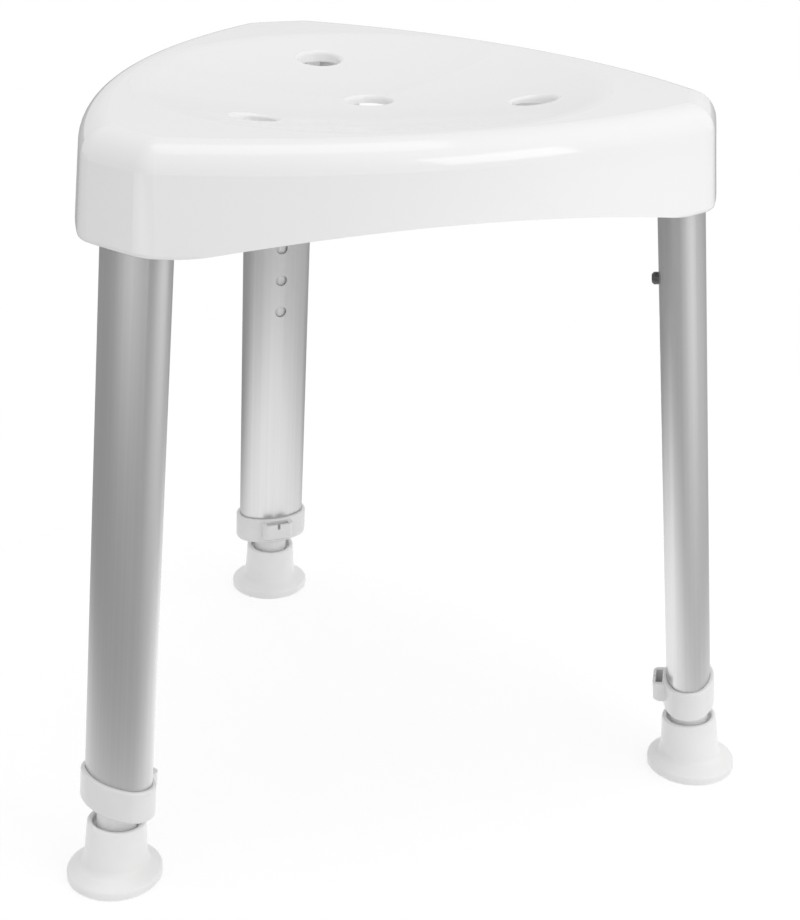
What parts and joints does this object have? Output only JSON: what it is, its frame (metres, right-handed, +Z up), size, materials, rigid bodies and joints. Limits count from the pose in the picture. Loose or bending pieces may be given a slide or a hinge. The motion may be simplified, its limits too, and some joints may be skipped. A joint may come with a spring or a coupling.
{
  "type": "shower stool",
  "caption": "Shower stool: a dished triangular plastic seat with drain holes on splayed oval legs, whose round extension tubes snap to set heights above flared rubber feet.",
  "frame": {"origin": "on the stool's axis of threefold symmetry, at floor level, with the legs at their shortest setting", "axes": "+Z up, +Y towards the back leg, +X to the right of the picture"},
  "size_m": [0.455, 0.4214, 0.455],
  "materials": {
    "seat_plastic": "moulded, satin gloss",
    "leg_aluminium": "satin anodised",
    "collar_plastic": "moulded, satin",
    "post_coating": "white powder coat, satin",
    "guide_plastic": "moulded",
    "button_steel": "plain",
    "spring_steel": "plain",
    "foot_rubber": "moulded, matt",
    "plated_steel": "zinc plated"
  },
  "bodies": {
    "seat": {"seat_shell": "seat_plastic", "leg_screws": "plated_steel", "leg_tube_back": "leg_aluminium", "leg_collar_back": "collar_plastic", "leg_tube_left": "leg_aluminium", "leg_collar_left": "collar_plastic", "leg_tube_right": "leg_aluminium", "leg_collar_right": "collar_plastic"},
    "leg_back": {"extension_tube_back": "post_coating", "extension_guide_back": "guide_plastic", "snap_spring_back": "spring_steel", "foot_back": "foot_rubber", "foot_washer_back": "plated_steel"},
    "button_back": {"snap_button_back": "button_steel"},
    "leg_left": {"extension_tube_left": "post_coating", "extension_guide_left": "guide_plastic", "snap_spring_left": "spring_steel", "foot_left": "foot_rubber", "foot_washer_left": "plated_steel"},
    "button_left": {"snap_button_left": "button_steel"},
    "leg_right": {"extension_tube_right": "post_coating", "extension_guide_right": "guide_plastic", "snap_spring_right": "spring_steel", "foot_right": "foot_rubber", "foot_washer_right": "plated_steel"},
    "button_right": {"snap_button_right": "button_steel"}
  },
  "joints": [
    {"name": "leg_slide_back", "type": "slide", "parent": "seat", "child": "leg_back", "axis": [0, 0.0941, -0.9956], "range_m": [0, 0.1], "deforming": ["snap_button_back", "snap_spring_back"]},
    {"name": "button_press_back", "type": "slide", "parent": "leg_back", "child": "button_back", "axis": [0, 0.9956, 0.0941], "range_m": [0, 0.006], "stiffness_N_per_m": 1000, "deforming": ["snap_spring_back"]},
    {"name": "leg_slide_left", "type": "slide", "parent": "seat", "child": "leg_left", "axis": [-0.0815, -0.0471, -0.9956], "range_m": [0, 0.1], "deforming": ["snap_button_left", "snap_spring_left"]},
    {"name": "button_press_left", "type": "slide", "parent": "leg_left", "child": "button_left", "axis": [-0.8622, -0.4978, 0.0941], "range_m": [0, 0.006], "stiffness_N_per_m": 1000, "deforming": ["snap_spring_left"]},
    {"name": "leg_slide_right", "type": "slide", "parent": "seat", "child": "leg_right", "axis": [0.0815, -0.0471, -0.9956], "range_m": [0, 0.1], "deforming": ["snap_button_right", "snap_spring_right"]},
    {"name": "button_press_right", "type": "slide", "parent": "leg_right", "child": "button_right", "axis": [0.8622, -0.4978, 0.0941], "range_m": [0, 0.006], "stiffness_N_per_m": 1000, "deforming": ["snap_spring_right"]}
  ]
}
